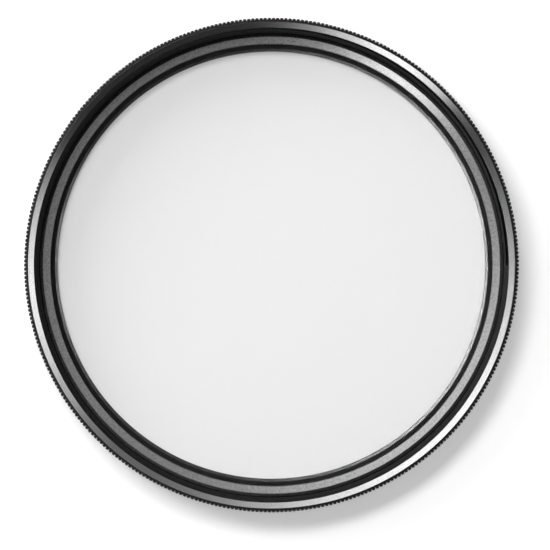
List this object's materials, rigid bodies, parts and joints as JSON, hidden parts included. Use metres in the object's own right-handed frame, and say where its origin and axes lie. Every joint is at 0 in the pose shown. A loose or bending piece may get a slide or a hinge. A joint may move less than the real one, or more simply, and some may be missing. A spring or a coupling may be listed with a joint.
{
  "type": "screw-in lens filter",
  "caption": "Round clear glass filter in a knurled black ring, with an outside thread at the rear to screw onto a lens and an inside thread at the front to stack another.",
  "frame": {"origin": "on the optical axis, at the rear end of the frame, which the filter stands on", "axes": "+Z along the optical axis from the rear thread towards the front"},
  "size_m": [0.0544, 0.0544, 0.0074],
  "materials": {
    "black_anodised": "black anodised, satin gloss with fine turning lines",
    "grey_anodised": "dark grey anodised, fine blasted satin",
    "clear_glass": "polished, clear"
  },
  "bodies": {
    "root": {"filter_frame": "black_anodised", "filter_glass": "clear_glass", "retaining_ring": "grey_anodised"}
  },
  "joints": []
}
